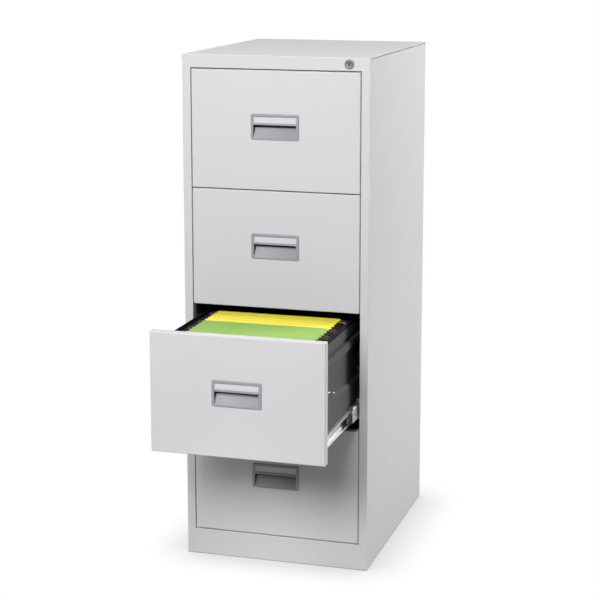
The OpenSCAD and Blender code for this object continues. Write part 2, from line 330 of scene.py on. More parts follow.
def face_away(mesh, inside):
    """Turns every face of an open surface so that the largest one looks away from a point."""
    bmesh.ops.remove_doubles(mesh, verts=mesh.verts, dist=1e-6)
    bmesh.ops.recalc_face_normals(mesh, faces=mesh.faces)
    largest = max(mesh.faces, key=lambda face: face.calc_area())
    if largest.normal.dot(largest.calc_center_median() - Vector(inside)) < 0:
        bmesh.ops.reverse_faces(mesh, faces=mesh.faces)


def piece_from(name, mesh, *materials):
    """A named object at the origin that holds a bmesh."""
    data = bpy.data.meshes.new(name)
    mesh.to_mesh(data)
    mesh.free()
    for material in materials:
        data.materials.append(material)
    piece = bpy.data.objects.new(name, data)
    scene.collection.objects.link(piece)
    return piece


def settled(piece, smooth_angle=35):
    """Applies a piece's modifiers and smooths its bends, but not its edges."""
    depsgraph = bpy.context.evaluated_depsgraph_get()
    data = bpy.data.meshes.new_from_object(piece.evaluated_get(depsgraph))
    piece.modifiers.clear()
    piece.data = data
    data.name = piece.name
    data.shade_smooth()
    data.set_sharp_from_angle(angle=math.radians(smooth_angle))
    return piece


def thickened(piece, thickness, inner_slot=0):
    """Gives a surface its sheet thickness, inwards."""
    wall = piece.modifiers.new("thickness", "SOLIDIFY")
    wall.thickness = thickness
    wall.offset = -1
    wall.use_even_offset = True
    wall.material_offset = inner_slot
    return settled(piece)


def build_side_panel(name, hand):
    """One side with its stile; hand is 1 on the right and -1 on the left."""
    mesh = bmesh.new()
    top = body_top - lid_h
    low = sheet_t
    stile_end = opening_x + bend_r

    def place(point, z):
        return (hand * point[0], point[1], z)

    wrap = rounded(
        [
            (side_x - back_flange_w, back_y - sheet_t),
            (side_x, back_y - sheet_t),
            (side_x, front_y),
            (stile_end, front_y),
        ],
        bend_r,
    )
    add_strip(mesh, wrap, [low, plinth_top, header_low, top], place)
    fold = rounded(
        [
            (stile_end + mm, front_y),
            (opening_x, front_y),
            (opening_x, front_y + stile_return_w),
        ],
        bend_r - 0.001 * mm,
    )[2:]
    fold[0] = Vector((stile_end, front_y))
    add_strip(mesh, fold, [plinth_top, header_low], place)
    for z0, z1 in ((low, plinth_top), (header_low, top)):
        flat = [Vector((stile_end, front_y)), Vector((opening_x, front_y))]
        add_strip(mesh, flat, [z0, z1], place)
    face_away(mesh, (0, 0, body_top / 2))
    return thickened(piece_from(name, mesh, body_paint, inside_primer), sheet_t, 1)


side_panels = {}
for hand, side in ((1, "right"), (-1, "left")):
    panel = build_side_panel(f"{side}_side_panel_folded", hand)
    side_panels[hand] = panel
    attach(panel, "cabinet")
    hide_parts(f"{side}_side_panel")


def folded_rail(name, free_edge, fold_edge, return_edge):
    """A channel across the front: a face, a fold inwards, and a return."""
    outline = rounded(
        [
            (front_y, free_edge),
            (front_y, fold_edge),
            (fold_y, fold_edge),
            (fold_y, return_edge),
        ],
        bend_r,
    )
    mesh = bmesh.new()
    add_strip(mesh, outline, [-opening_x, opening_x], along_x)
    face_away(mesh, (0, 0, (free_edge + fold_edge) / 2))
    return thickened(piece_from(name, mesh, body_paint, inside_primer), sheet_t, 1)


# The rail over the drawers and the plinth are folded channels, welded flush between
# the stiles and filled, so that no seam shows.
header = folded_rail(
    "front_header_folded", body_top - lid_h, header_low, header_low + 5 * mm
)
plinth = folded_rail("plinth_folded", sheet_t, plinth_top, plinth_top - 18 * mm)
for piece, node in ((header, "front_header"), (plinth, "plinth")):
    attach(piece, "cabinet")
    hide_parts(node)


def block(low, high):
    """A bmesh box between two corners."""
    mesh = bmesh.new()
    bmesh.ops.create_cube(mesh, size=1)
    low, high = Vector(low), Vector(high)
    for vert in mesh.verts:
        vert.co = Vector(low[i] + (vert.co[i] + 0.5) * (high[i] - low[i]) for i in range(3))
    return mesh


def eased(piece, radius, segments=3, angle=30):
    """Rounds a piece's edges and keeps its flat faces flat."""
    edge = piece.modifiers.new("rounded_edges", "BEVEL")
    edge.width = radius
    edge.segments = segments
    edge.limit_method = "ANGLE"
    edge.angle_limit = math.radians(angle)
    edge.harden_normals = True
    return settled(piece, 60)


def cut(piece, cutter, solver="EXACT"):
    """Subtracts a cutter from a piece and removes the cutter."""
    hole = piece.modifiers.new("cut", "BOOLEAN")
    hole.operation = "DIFFERENCE"
    hole.solver = solver
    hole.object = cutter
    if solver == "EXACT":
        hole.material_mode = "TRANSFER"
    settled(piece)
    bpy.data.objects.remove(cutter)


# The top is a shallow pressed lid: a hairline joint parts it from each side, which
# stops short of its rim. The joint's groove is painted near-black as painted shade.
lid_side = side_x - 0.1 * mm
lid_mesh = block(
    (-lid_side, front_y, body_top - lid_h), (lid_side, back_y - 0.3 * mm, body_top)
)
upper_edges = [e for e in lid_mesh.edges if all(v.co.z > body_top - mm for v in e.verts)]
bmesh.ops.bevel(
    lid_mesh, geom=upper_edges, offset=1.2 * mm, segments=4, profile=0.5, affect="EDGES"
)
underside = min(lid_mesh.faces, key=lambda face: face.calc_center_median().z)
bmesh.ops.delete(lid_mesh, geom=[underside], context="FACES_ONLY")
face_away(lid_mesh, (0, 0, body_top / 2))
lid = thickened(
    piece_from("top_panel_pressed", lid_mesh, body_paint, inside_primer), sheet_t, 1
)
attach(lid, "cabinet")
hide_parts("top_panel")

for hand, panel in side_panels.items():
    joint_low = Vector((hand * side_x - 4 * mm, front_y + 3 * mm, body_top - 4.0 * mm))
    joint_high = Vector((hand * side_x + 4 * mm, back_y - 3 * mm, body_top - 2.0 * mm))
    cut(panel, piece_from("joint_cutter", block(joint_low, joint_high), inside_primer))

back = eased(
    piece_from(
        "back_panel_sheet",
        block(
            (-side_x + mm, back_y - sheet_t, 3 * mm),
            (side_x - mm, back_y, body_top - 3.2 * mm),
        ),
        body_paint,
    ),
    0.4 * mm,
)
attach(back, "cabinet")
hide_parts("back_panel")


def repaint(node, material):
    """Gives a node of the frame its finish."""
    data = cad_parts[node].data
    data.materials.clear()
    data.materials.append(material)


# The base inside the body is painted near-black as painted shade.
repaint("base_panel", inside_primer)

# ---- Posts and lock bar -----------------------------------------------------
# Four folded channels stand inside the body and carry the slides. A flat bar with a
# hook for each drawer runs down the right front one in nylon guides.

tray_paint = coated("tray_paint", (0.058, 0.058, 0.056), 0.45, grain=700.0)
guide_nylon = coated("guide_nylon", (0.75, 0.75, 0.70), 0.5, cloudiness=0.05)


def streak_group():
    """Fine rolling streaks along one axis and a faint crystal pattern, as on plated steel."""
    tree, given, result = node_group(
        "rolling_streaks",
        [
            ("Colour", "NodeSocketColor", (0.7, 0.7, 0.7, 1)),
            ("Stretch", "NodeSocketVector", (900, 12, 900)),
            ("Streak", "NodeSocketFloat", 0.2),
            ("Roughness", "NodeSocketFloat", 0.3),
        ],
        finish_outputs,
    )
    place = add_node(tree, "ShaderNodeTexCoord").outputs["Object"]
    scaled = add_node(
        tree,
        "ShaderNodeVectorMath",
        {0: place, 1: given.outputs["Stretch"]},
        operation="MULTIPLY",
    )
    streaks = add_node(
        tree, "ShaderNodeTexNoise", {"Vector": scaled.outputs[0], "Scale": 1, "Detail": 3}
    )
    crystals = add_node(tree, "ShaderNodeTexVoronoi", {"Vector": place, "Scale": 160})
    streak_fac = streaks.outputs["Fac"]
    both = maths(tree, "MULTIPLY_ADD", crystals.outputs["Color"], 0.25, streak_fac)
    vary(tree, given, result, both, 0.62, "Streak")
    tree.links.new(streak_fac, result.inputs["Height"])
    return tree


rolling_streaks = streak_group()


def plated(name, colour, roughness, stretch=(900, 12, 900), streak=0.35):
    """A bare or plated metal with streaks from rolling or turning."""
    values = {
        "Colour": (*colour, 1),
        "Stretch": stretch,
        "Streak": streak,
        "Roughness": roughness,
    }
    material, shader = finish_from(name, rolling_streaks, values, 0.00002, 0.4)
    shader.inputs["Metallic"].default_value = 1.0
    return material


upright_zinc = plated("upright_zinc", (0.55, 0.55, 0.55), 0.42, stretch=(900, 900, 12))
# The posts get the trays' dark grey and the lock bar near-black, as painted shade.
for post in ("front_left", "front_right", "rear_left", "rear_right"):
    repaint(f"post_{post}", tray_paint)
repaint("lock_bar", inside_primer)
repaint("lock_cam", upright_zinc)
repaint("lock_nut", upright_zinc)
repaint("lock_bar_guides", guide_nylon)

# ---- Cam lock ---------------------------------------------------------------
# A turned, nickel-plated housing with a domed bezel, and a plug with a keyway. The
# rail over the drawers is punched for the housing's neck.

lock_nickel = plated("lock_nickel", (0.27, 0.27, 0.27), 0.6, stretch=(300, 60, 300), streak=0.5)
keyway_dark = coated("keyway_dark", (0.01, 0.01, 0.01), 0.6)
housing_low, housing_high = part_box("lock_housing")
plug_low, plug_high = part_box("lock_plug")
lock_axis = (housing_low + housing_high) / 2
bezel_r = (housing_high.x - housing_low.x) / 2
plug_r = (plug_high.x - plug_low.x) / 2
neck_r = 9.5 * mm
keyway_half = Vector((1.8 * mm, 0, 4.2 * mm))
keyway_end = plug_low.y + 16 * mm


def turned(name, outline, centre, materials, steps=64):
    """A ring or disc turned on the Y axis through centre, from points (radius, y)."""
    mesh = bmesh.new()
    rows = []
    for i in range(steps):
        angle = 2 * math.pi * i / steps
        rows.append(
            [
                mesh.verts.new(
                    (centre.x + r * math.cos(angle), y, centre.z + r * math.sin(angle))
                )
                for r, y in outline
            ]
        )
    for row, after in zip(rows, rows[1:] + rows[:1]):
        for i in range(len(outline)):
            j = (i + 1) % len(outline)
            corners = (row[i], row[j], after[j], after[i])
            if len({tuple(v.co) for v in corners}) > 2:
                mesh.faces.new(corners)
    bmesh.ops.remove_doubles(mesh, verts=mesh.verts, dist=1e-6)
    bmesh.ops.recalc_face_normals(mesh, faces=mesh.faces)
    return settled(piece_from(name, mesh, *materials), 30)


bore = plug_r + 0.15 * mm
housing = turned(
    "lock_housing_turned",
    [
        (bore, housing_low.y + 1.6 * mm),
        (bore + 0.7 * mm, housing_low.y + 0.7 * mm),
        (bore + 1.6 * mm, housing_low.y + 0.2 * mm),
        (bezel_r - 2.4 * mm, housing_low.y),
        (bezel_r - 1.0 * mm, housing_low.y + 0.5 * mm),
        (bezel_r - 0.2 * mm, housing_low.y + 1.5 * mm),
        (bezel_r, front_y),
        (neck_r, front_y),
        (neck_r, housing_high.y),
        (bore, housing_high.y),
    ],
    lock_axis,
    [lock_nickel],
)
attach(housing, "cabinet")
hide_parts("lock_housing")

hole_r = neck_r - 0.1 * mm
hole_outline = [
    (0, front_y - mm),
    (hole_r, front_y - mm),
    (hole_r, fold_y - mm),
    (0, fold_y - mm),
]
# The hole's wall takes the near-black painted shade.
cut(header, turned("lock_hole_cutter", hole_outline, lock_axis, [inside_primer]))

plug = turned(
    "lock_plug_turned",
    [
        (0, plug_low.y + 0.3 * mm),
        (plug_r - 1.5 * mm, plug_low.y + 0.3 * mm),
        (plug_r - 1.0 * mm, plug_low.y),
        (plug_r - 0.3 * mm, plug_low.y),
        (plug_r, plug_low.y + 0.4 * mm),
        (plug_r, plug_high.y),
        (0, plug_high.y),
    ],
    lock_axis,
    [lock_nickel, keyway_dark],
)
key_low, key_high = lock_axis - keyway_half, lock_axis + keyway_half
key_low.y, key_high.y = plug_low.y - mm, keyway_end
cut(plug, piece_from("keyway_cutter", block(key_low, key_high), keyway_dark), "MANIFOLD")
# The keyway's faces are painted near-black as painted shade.
for face in plug.data.polygons:
    off_axis = face.center - lock_axis
    if (
        abs(off_axis.x) < keyway_half.x + 0.1 * mm
        and abs(off_axis.z) < keyway_half.z + 0.1 * mm
        and plug_low.y + mm < face.center.y < keyway_end + mm
    ):
        face.material_index = 1
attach(plug, "lock_plug")
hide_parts("lock_plug")

# ---- Drawer fronts ----------------------------------------------------------
# Each front is a pan folded from one sheet, 20 mm deep, with rounded edges and a
# cut-out for the handle. It is coated like the body, its inner face painted near-black
# as painted shade.

front_box = {n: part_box(f"drawer_{n}_front") for n in (1, 2, 3, 4)}
handle_box = {n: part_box(f"drawer_{n}_handle") for n in (1, 2, 3, 4)}
pan_bend = 2.2 * mm
rim_w = 4 * mm
hole_side = 4.5 * mm
hole_end = 2.8 * mm


def build_front(n):
    """A pan with a hole behind the handle's flange."""
    low, high = front_box[n]
    hole_low, hole_high = handle_box[n]
    xs = [low.x, low.x + rim_w, hole_low.x + hole_side]
    xs += [hole_high.x - hole_side, high.x - rim_w, high.x]
    zs = [low.z, low.z + rim_w, hole_low.z + hole_end]
    zs += [hole_high.z - hole_end, high.z - rim_w, high.z]
    mesh = bmesh.new()
    grid = [[mesh.verts.new((x, low.y, z)) for x in xs] for z in zs]
    for row in range(5):
        for col in range(5):
            if (row, col) != (2, 2):
                near, far = grid[row], grid[row + 1]
                mesh.faces.new((near[col], near[col + 1], far[col + 1], far[col]))
    rim = [
        edge
        for edge in mesh.edges
        if edge.is_boundary
        and (
            all(abs(v.co.x) > high.x - mm for v in edge.verts)
            or all(not low.z + mm < v.co.z < high.z - mm for v in edge.verts)
        )
    ]
    walls = bmesh.ops.extrude_edge_only(mesh, edges=rim)["geom"]
    for vert in walls:
        if isinstance(vert, bmesh.types.BMVert):
            vert.co.y = high.y
    face_away(mesh, (0, high.y, (low.z + high.z) / 2))
    piece = piece_from(f"drawer_{n}_front_pan", mesh, body_paint, inside_primer)
    edge = piece.modifiers.new("bends", "BEVEL")
    edge.width = pan_bend
    edge.segments = 4
    edge.limit_method = "ANGLE"
    edge.harden_normals = True
    return thickened(piece, sheet_t, 1)


for n in front_box:
    front = build_front(n)
    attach(front, f"drawer_{n}")
    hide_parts(f"drawer_{n}_front")

# ---- Handles ----------------------------------------------------------------
# A one-piece grey moulding: a thin flange on the sheet, a label window with a pocket
# behind it, a bar, and a finger recess that slopes back and runs up behind the label.

handle_plastic = coated(
    "handle_plastic", (0.285, 0.295, 0.31), 0.55, cloudiness=0.06, grain=1600.0, bump=0.00003
)
pocket_dark = coated("pocket_dark", (0.02, 0.02, 0.022), 0.8)
flange_t = 2.5 * mm
body_half_h = 29.5 * mm
recess_half = 56 * mm
pocket_half = 57 * mm
pocket_low, pocket_high = 8.5 * mm, 27 * mm
window_low, window_high = 10 * mm, 25.5 * mm
recess_corners = [
    (-2, -28.5),
    (0.6, -28.5),
    (16.5, -2.4),
    (16.5, 20),
    (6.5, 20),
    (6.5, 4.8),
    (-2, 4.8),
]


def along_y(point, y):
    """A point (x, z) of an outline, at a place along Y."""
    return (point[0], y, point[1])


def prism(outline, start, end, place):
    """A bmesh prism of an outline between two places on one axis."""
    mesh = bmesh.new()
    ends = [[mesh.verts.new(place(p, s)) for p in outline] for s in (start, end)]
    mesh.faces.new(ends[0])
    mesh.faces.new(ends[1])
    for i in range(len(outline)):
        j = (i + 1) % len(outline)
        mesh.faces.new((ends[0][i], ends[0][j], ends[1][j], ends[1][i]))
    bmesh.ops.recalc_face_normals(mesh, faces=mesh.faces)
    return mesh


def slab_with_round_corners(low, high, radius, steps=6):
    """A bmesh plate in x and z with rounded corners, from low[1] to high[1] in y."""
    ring = []
    for cx, cz, start in (
        (high[0] - radius, high[2] - radius, 0),
        (low[0] + radius, high[2] - radius, 90),
        (low[0] + radius, low[2] + radius, 180),
        (high[0] - radius, low[2] + radius, 270),
    ):
        for i in range(steps + 1):
            angle = math.radians(start + 90 * i / steps)
            ring.append((cx + radius * math.cos(angle), cz + radius * math.sin(angle)))
    return prism(ring, low[1], high[1], along_y)


def build_handle(n):
    """The moulding, cut from a plate and a block by its window, pocket and recess."""
    low, high = handle_box[n]
    face, middle = low.y, (low.z + high.z) / 2
    half_w = (high.x - low.x) / 2
    plate = piece_from(
        f"drawer_{n}_handle_moulding",
        slab_with_round_corners((low.x, face, low.z), (high.x, face + flange_t, high.z), 4 * mm),
        handle_plastic,
    )
    edge = plate.modifiers.new("soft_edge", "BEVEL")
    edge.width = 0.9 * mm
    edge.segments = 3
    edge.limit_method = "ANGLE"
    edge.angle_limit = math.radians(60)
    body = piece_from(
        "handle_body",
        block(
            (-half_w + 5 * mm, face + 2.4 * mm, middle - body_half_h),
            (half_w - 5 * mm, high.y, middle + body_half_h),
        ),
        handle_plastic,
    )
    union = plate.modifiers.new("body", "BOOLEAN")
    union.operation = "UNION"
    union.solver = "EXACT"
    union.object = body
    settled(plate)
    bpy.data.objects.remove(body)
    recess = [(face + d * mm, middle + z * mm) for d, z in rounded(recess_corners, 1.2, 3)]
    recess_mesh = prism(recess, -recess_half, recess_half, along_x)
    # The recess's end walls and its back are painted near-black as painted shade.
    for side in recess_mesh.faces:
        x, y, z = side.calc_center_median()
        at_back = y > face + 15.6 * mm or z > middle + 6 * mm
        if abs(x) > recess_half - mm or at_back:
            side.material_index = 1
    cut(plate, piece_from("recess_cutter", recess_mesh, handle_plastic, pocket_dark))
    window = slab_with_round_corners(
        (-recess_half, face - mm, middle + window_low),
        (recess_half, face + 1.6 * mm, middle + window_high),
        1.2 * mm,
        3,
    )
    cut(plate, piece_from("window_cutter", window, handle_plastic))
    pocket = block(
        (-pocket_half, face + 1.5 * mm, middle + pocket_low),
        (pocket_half, face + 3 * mm, middle + pocket_high),
    )
    cut(plate, piece_from("pocket_cutter", pocket, handle_plastic))
    return eased(plate, 0.35 * mm, 2, 40)


for n in handle_box:
    handle = build_handle(n)
    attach(handle, f"drawer_{n}")
    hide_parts(f"drawer_{n}_handle")

# ---- Label cards ------------------------------------------------------------
# A plain card slid in behind each label window.

label_card = coated(
    "label_card", (0.57, 0.58, 0.59), 0.75, cloudiness=0.05, grain=2500.0, bump=0.00003
)
card_half = pocket_half - 0.4 * mm
for n in handle_box:
    low, high = handle_box[n]
    middle = (low.z + high.z) / 2
    label = piece_from(
        f"drawer_{n}_label_card",
        block(
            (-card_half, low.y + 2.2 * mm, middle + pocket_low + 0.5 * mm),
            (card_half, low.y + 2.6 * mm, middle + pocket_high - 0.5 * mm),
        ),
        label_card,
    )
    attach(label, f"drawer_{n}")
    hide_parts(f"drawer_{n}_label")

# ---- Trays ------------------------------------------------------------------
# Each tray is spot-welded from pressed sheet: two sides with stiffening steps, a lip
# and a flange that carries the files, a bottom, a back and a front wall. The lip, the
# flange and the inner faces are painted near-black as painted shade.

tray_x = opening_x - 19.9 * mm
wall_x = tray_x - 7.6 * mm
groove_x = tray_x - 11.6 * mm
tray_len = 560 * mm
tray_t = 0.9 * mm
lip_joint_h = 271 * mm
tray_side_corners = [
    (tray_x - 8 * mm, 20 * mm),
    (tray_x, 20 * mm),
    (tray_x, 124 * mm),
    (wall_x, 130 * mm),
    (wall_x, 211 * mm),
    (tray_x, 217 * mm),
    (tray_x, 236 * mm),
    (groove_x, 238.5 * mm),
    (groove_x, 244.5 * mm),
    (wall_x, 247 * mm),
    (wall_x, 282 * mm),
    (wall_x - 3 * mm, 282 * mm),
    (wall_x - 3 * mm, 272 * mm),
    (wall_x - 15 * mm, 272 * mm),
    (wall_x - 15 * mm, 266 * mm),
]


def add_mesh(mesh, part):
    """Adds one bmesh to another and frees it."""
    holder = bpy.data.meshes.new("holder")
    part.to_mesh(holder)
    part.free()
    mesh.from_mesh(holder)
    bpy.data.meshes.remove(holder)


def add_side_pair(mesh, outline, y0, y1, inside_x, height):
    """Adds an (x, z) outline swept along Y at a height, and its mirror image."""
    for hand in (1, -1):
        side = bmesh.new()
        add_strip(
            side,
            outline,
            [y0, y1],
            lambda p, y, hand=hand: (hand * p[0], y, height + p[1]),
        )
        face_away(side, (hand * inside_x, y0, height))
        add_mesh(mesh, side)


def build_tray(n):
    """All of a tray's pressings, in one piece."""
    low, high = front_box[n]
    foot, start, end = low.z, high.y, high.y + tray_len
    lip_foot = foot + lip_joint_h
    sides = bmesh.new()
    outline = rounded(tray_side_corners, 0.9 * mm, 3)
    add_side_pair(sides, outline, start + 0.2 * mm, end, 0, foot)
    bmesh.ops.bisect_plane(
        sides,
        geom=sides.verts[:] + sides.edges[:] + sides.faces[:],
        plane_co=(0, 0, lip_foot),
        plane_no=(0, 0, 1),
    )
    # The lip and the file flange get the near-black painted shade.
    for face in sides.faces:
        x, _, z = face.calc_center_median()
        on_flange = z > foot + 265 * mm and abs(x) < wall_x - 0.5 * mm
        if z > lip_foot or on_flange:
            face.material_index = 1
    piece = piece_from(f"drawer_{n}_tray_pressings", sides, tray_paint, inside_primer)
    thickened(piece, tray_t, 1)
    whole = bmesh.new()
    whole.from_mesh(piece.data)
    inset = 1.2 * mm
    bottom = (
        (-tray_x + inset, start + 0.2 * mm, foot + 20 * mm),
        (tray_x - inset, end, foot + 21 * mm),
    )
    rear_wall = (
        (-groove_x + inset, end - mm, foot + 21 * mm),
        (groove_x - inset, end, foot + 250 * mm),
    )
    front_wall = (
        (low.x + inset, start - mm, low.z + inset),
        (high.x - inset, start, high.z - inset),
    )
    brace_end = (
        (wall_x, low.y + 45 * mm, foot + 162 * mm),
        (wall_x + 18 * mm, low.y + 51 * mm, foot + 174 * mm),
    )
    for corners in (bottom, rear_wall, front_wall, brace_end):
        add_mesh(whole, block(*corners))
    whole.to_mesh(piece.data)
    whole.free()
    return settled(piece)


for n in front_box:
    tray = build_tray(n)
    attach(tray, f"drawer_{n}")
    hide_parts(f"drawer_{n}_tray")

# ---- Ball slides ------------------------------------------------------------
# Each drawer runs on a pair of three-part telescopic slides rolled from zinc-plated
# strip. The black end stop of the middle part is a nylon clip.

drawer_shift = {n: front_box[n][0].y - front_y for n in front_box}
slide_mid_z = 50 * mm
slide_front_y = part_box("drawer_1_slide_outer")[0].y
slide_back_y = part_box("drawer_1_slide_middle")[1].y
middle_front_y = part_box("drawer_1_slide_middle")[0].y
post_face_x = opening_x - 0.7 * mm
rolled_lip_x = 208 * mm
rail_t = 1.2 * mm
slide_zinc = plated("slide_zinc", (0.86, 0.87, 0.88), 0.38, streak=0.2)
clip_nylon = coated("clip_nylon", (0.02, 0.02, 0.021), 0.4, grain=500.0)


def rolled_channel(name, web_x, lip_x, half_h, y0, y1):
    """A mirrored pair of slide channels at height 0, as one piece."""
    inwards = 1 if web_x > lip_x else -1
    corner, nib = 2.8 * mm, 1.2 * mm
    half = [
        (lip_x, half_h - nib),
        (lip_x + inwards * 1.8 * mm, half_h),
        (web_x - inwards * corner, half_h),
        (web_x, half_h - corner),
    ]
    outline = rounded([(x, -z) for x, z in half] + half[::-1], 0.7 * mm, 2)
    both = bmesh.new()
    add_side_pair(both, outline, y0, y1, (web_x + lip_x) / 2, 0)
    return thickened(piece_from(name, both, slide_zinc), rail_t)


def add_prisms(mesh, outline, xs):
    """Adds a mirrored pair of prisms along X to a mesh, from an outline of (y, z)."""
    for x0, x1 in (xs, (-xs[1], -xs[0])):
        add_mesh(mesh, prism(outline, x0, x1, along_x))


def circle(y, z, radius, steps=20):
    """Points (y, z) round a circle."""
    turns = [2 * math.pi * i / steps for i in range(steps)]
    return [(y + radius * math.cos(t), z + radius * math.sin(t)) for t in turns]


def placed(prototype, name, shift_y, shift_z):
    """A copy of a prototype's mesh, moved into place, as an object at the origin."""
    data = prototype.data.copy()
    data.name = name
    data.transform(Matrix.Translation((0, shift_y, shift_z)))
    piece = bpy.data.objects.new(name, data)
    scene.collection.objects.link(piece)
    return piece


outer_rail = rolled_channel(
    "outer_rail", post_face_x, rolled_lip_x, 25.2 * mm, slide_front_y, slide_back_y
)
middle_rail = rolled_channel(
    "middle_rail", post_face_x - 3.1 * mm, rolled_lip_x, 20 * mm, middle_front_y, slide_back_y
)
inner_rail = rolled_channel(
    "inner_rail", tray_x, 216.5 * mm, 14.8 * mm, slide_front_y, slide_back_y - 5 * mm
)

# The middle part's front corners are rounded and its web has punched holes.
corner_r = 15 * mm
corner_foot = 5.2 * mm
slot_r, slot_len, slot_pitch = 3.2 * mm, 16 * mm, 48 * mm
punches = bmesh.new()
for side in (1, -1):
    corner_cut = [
        (middle_front_y - mm, side * 24 * mm),
        (middle_front_y + corner_r, side * 24 * mm),
    ]
    for i in range(7):
        turn = math.radians(90 * i / 6)
        y = middle_front_y + corner_r - corner_r * math.sin(turn)
        corner_cut.append((y, side * (corner_foot + corner_r * math.cos(turn))))
    corner_cut.append((middle_front_y - mm, side * corner_foot))
    add_prisms(punches, corner_cut, (200 * mm, 230 * mm))
web_zone = (217 * mm, 222 * mm)
add_prisms(punches, circle(middle_front_y + 27 * mm, 0, 4.5 * mm), web_zone)
for i in range(8):
    y = middle_front_y + 70 * mm + i * slot_pitch
    near_end, far_end = circle(y, 0, slot_r), circle(y + slot_len, 0, slot_r)
    add_prisms(punches, near_end[5:16] + far_end[15:] + far_end[:6], web_zone)
bmesh.ops.recalc_face_normals(punches, faces=punches.faces)
cut(middle_rail, piece_from("web_punches", punches, slide_zinc), "MANIFOLD")

# The nylon clip stands out of the middle part's front end, beside the inner part.
clip_mesh = bmesh.new()
clip_y = middle_front_y
clip_outline = rounded(
    [
        (clip_y + 14 * mm, 0),
        (clip_y + 14 * mm, 16.4 * mm),
        (clip_y - 34 * mm, 16.4 * mm),
        (clip_y - 44 * mm, 9 * mm),
        (clip_y - 44 * mm, -11 * mm),
        (clip_y - 30 * mm, -16.4 * mm),
        (clip_y + 14 * mm, -16.4 * mm),
        (clip_y + 14 * mm, 0),
    ],
    3 * mm,
    4,
)[:-1]
add_prisms(clip_mesh, clip_outline, (216.8 * mm, 217.8 * mm))
for y0, y1, z0, z1 in (  # the clip's moulded ridges
    (-38, -34, -9, 9),
    (-26, -16, 8, 12),
    (-26, -16, -12, -8),
    (-12, -8, -13, 13),
):
    ridge = [
        (clip_y + y0 * mm, z0 * mm),
        (clip_y + y1 * mm, z0 * mm),
        (clip_y + y1 * mm, z1 * mm),
        (clip_y + y0 * mm, z1 * mm),
    ]
    add_prisms(clip_mesh, ridge, (217.6 * mm, 219.6 * mm))
clip = eased(piece_from("end_clip", clip_mesh, clip_nylon), 0.3 * mm, 1, 50)

for n in front_box:
    rail_z = front_box[n][0].z + slide_mid_z
    for prototype, part, share, body in (
        (outer_rail, "outer", 0, "cabinet"),
        (middle_rail, "middle", 0.5, f"slide_middle_{n}"),
        (inner_rail, "inner", 1, f"drawer_{n}"),
    ):
        rail = placed(prototype, f"drawer_{n}_{part}_rail", drawer_shift[n] * share, rail_z)
        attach(rail, body)
        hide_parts(f"drawer_{n}_slide_{part}")
    stop = placed(clip, f"drawer_{n}_end_clips", drawer_shift[n] * 0.5, rail_z)
    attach(stop, f"slide_middle_{n}")
for prototype in (outer_rail, middle_rail, inner_rail, clip):
    bpy.data.objects.remove(prototype)

# ---- Ball cages -------------------------------------------------------------
# A thin folded strip with two rows of steel balls runs between each two slide parts.

cage_steel = plated("cage_steel", (0.30, 0.30, 0.31), 0.4)
ball_steel = plated("ball_steel", (0.75, 0.75, 0.76), 0.12, streak=0.05)
ball_r = 1.7 * mm
ball_x = 213 * mm
ball_pitch = 24 * mm
cage_lip_x = 210.5 * mm


def repeat_group():
    """Copies of a part at every point of the geometry, turned as the points say."""
    tree = bpy.data.node_groups.new("repeat_part", "GeometryNodeTree")
    sockets = tree.interface.new_socket
    sockets("Points", in_out="INPUT", socket_type="NodeSocketGeometry")
    sockets("Part", in_out="INPUT", socket_type="NodeSocketObject")
    sockets("Finish", in_out="INPUT", socket_type="NodeSocketMaterial")
    sockets("Copies", in_out="OUTPUT", socket_type="NodeSocketGeometry")
    given, result = tree.nodes.new("NodeGroupInput"), tree.nodes.new("NodeGroupOutput")
    part = add_node(tree, "GeometryNodeObjectInfo", {"Object": given.outputs["Part"]})
    turn = add_node(
        tree, "GeometryNodeInputNamedAttribute", {"Name": "turn"}, data_type="FLOAT_VECTOR"
    )
    copies = add_node(
        tree,
        "GeometryNodeInstanceOnPoints",
        {
            "Points": given.outputs["Points"],
            "Instance": part.outputs["Geometry"],
            "Rotation": turn.outputs["Attribute"],
        },
    )
    real = add_node(
        tree, "GeometryNodeRealizeInstances", {"Geometry": copies.outputs["Instances"]}
    )
    finish = add_node(
        tree,
        "GeometryNodeSetMaterial",
        {"Geometry": real.outputs["Geometry"], "Material": given.outputs["Finish"]},
    )
    tree.links.new(finish.outputs["Geometry"], result.inputs["Copies"])
    return tree


repeat_part = repeat_group()


def repeated(name, part, places, material, smooth_angle=35):
    """One plain mesh made of copies of a part at (point, turn) places."""
    data = bpy.data.meshes.new(name)
    data.from_pydata([point for point, _ in places], [], [])
    turns = data.attributes.new("turn", "FLOAT_VECTOR", "POINT")
    for i, (_, turn) in enumerate(places):
        turns.data[i].vector = turn
    piece = bpy.data.objects.new(name, data)
    scene.collection.objects.link(piece)
    copies = piece.modifiers.new("copies", "NODES")
    copies.node_group = repeat_part
    for item in repeat_part.interface.items_tree:
        if item.name == "Part":
            copies[item.identifier] = part
        if item.name == "Finish":
            copies[item.identifier] = material
    return settled(piece, smooth_angle)


def joined(name, *parts):
    """The parts as one object; the parts are removed."""
    mesh = bmesh.new()
    materials = []
    for part in parts:
        count = len(mesh.faces)
        mesh.from_mesh(part.data)
        mesh.faces.ensure_lookup_table()
        for face in mesh.faces[count:]:
            material = part.data.materials[face.material_index]
            if material not in materials:
                materials.append(material)
            face.material_index = materials.index(material)
        bpy.data.objects.remove(part)
    return piece_from(name, mesh, *materials)


ball_mesh = bmesh.new()
bmesh.ops.create_icosphere(ball_mesh, subdivisions=2, radius=ball_r)
ball = piece_from("ball", ball_mesh, ball_steel)

